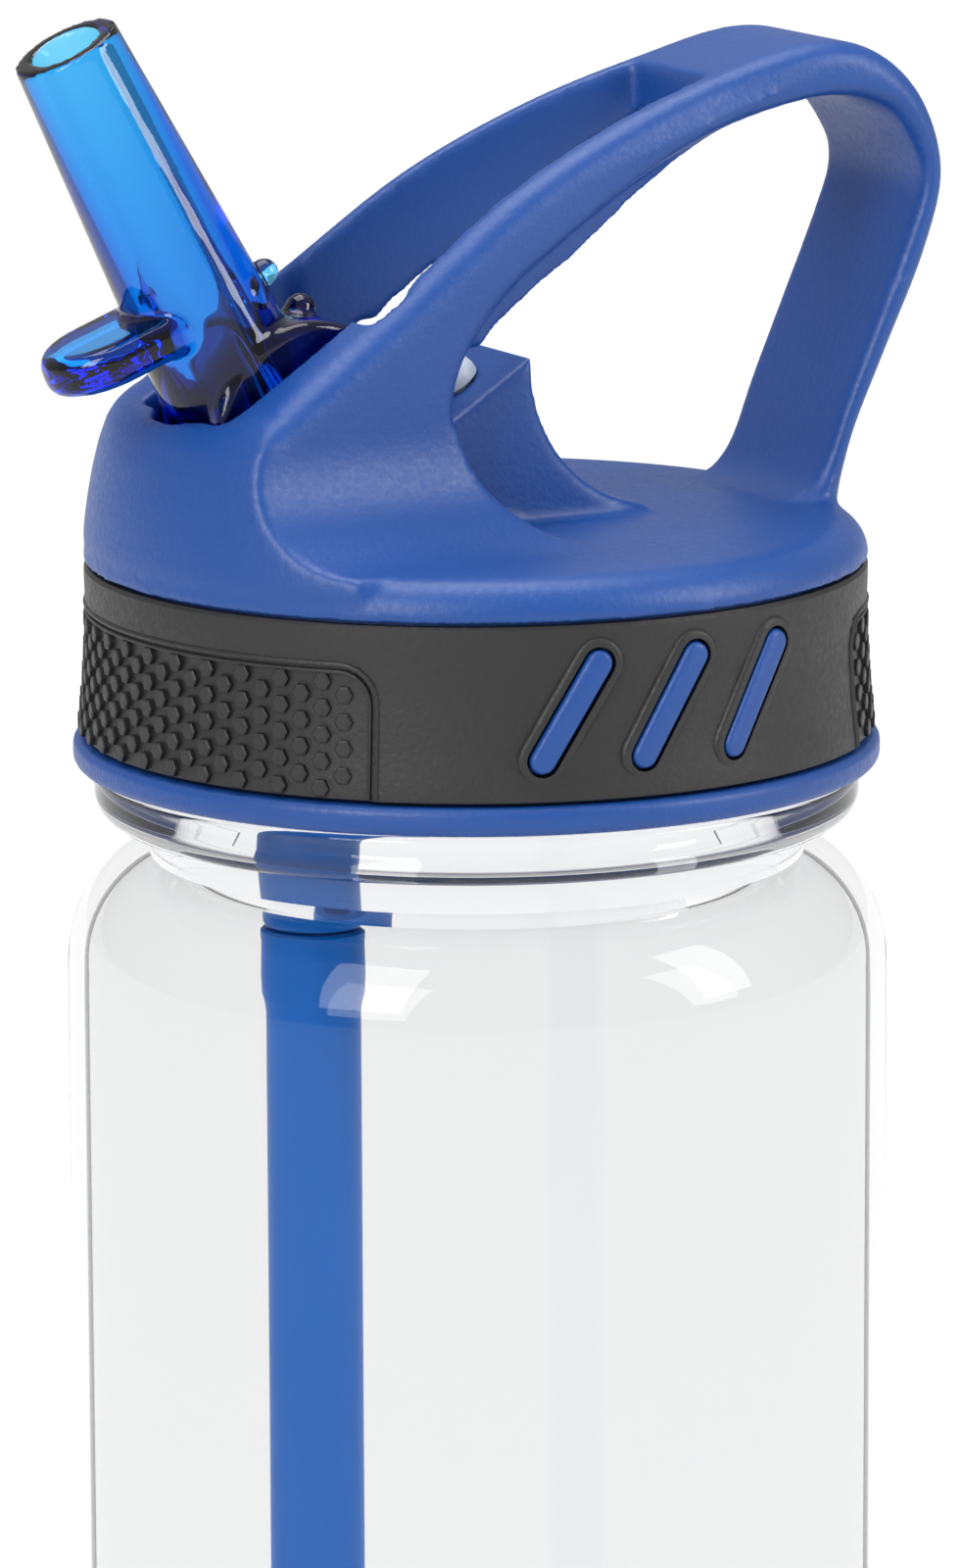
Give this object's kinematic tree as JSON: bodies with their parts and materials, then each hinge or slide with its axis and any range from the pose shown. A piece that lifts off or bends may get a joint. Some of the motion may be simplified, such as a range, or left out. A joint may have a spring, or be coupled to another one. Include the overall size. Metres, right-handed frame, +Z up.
{
  "type": "drinking bottle",
  "caption": "Clear wide-mouth drinking bottle with a blue screw lid, hand loop, black rubber grip band, flip-up straw spout and a long inner straw.",
  "frame": {"origin": "centre of the bottle's base, on the surface it stands on", "axes": "+Z up the bottle's axis; the open spout leans towards -X and the hand loop stands towards +X"},
  "size_m": [0.1025, 0.086, 0.2539],
  "materials": {
    "clear_plastic": "clear copolyester, glossy",
    "blue_plastic": "royal blue polypropylene, fine moulded grain, satin",
    "black_rubber": "black thermoplastic rubber, matte, moulded hexagon studs",
    "silicone": "milky silicone",
    "spout_plastic": "translucent blue, glossy",
    "straw_plastic": "blue polyethylene, satin gloss"
  },
  "bodies": {
    "bottle": {"bottle_body": "clear_plastic"},
    "gasket": {"cap_gasket": "silicone"},
    "lid": {"cap_shell": "blue_plastic", "grip_band": "black_rubber", "vent_valve": "silicone", "spout_seal": "silicone", "straw_adapter": "spout_plastic", "straw": "straw_plastic"},
    "spout": {"spout": "spout_plastic"}
  },
  "joints": [
    {"name": "lid_lift", "type": "slide", "parent": "bottle", "child": "gasket", "axis": [0, 0, 1], "range_m": [0, 0.0076]},
    {"name": "lid_turn", "type": "hinge", "parent": "gasket", "child": "lid", "pos_m": [0, 0, 0.18], "axis": [0, 0, 1], "range_deg": [0, 540]},
    {"name": "spout_fold", "type": "hinge", "parent": "lid", "child": "spout", "pos_m": [-0.0225, 0, 0.2115], "axis": [0, 1, 0], "range_deg": [0, 90]}
  ],
  "couplings": [
    {"joint": "lid_lift", "follows": "lid_turn", "m_per_rad": 0.00079577}
  ]
}
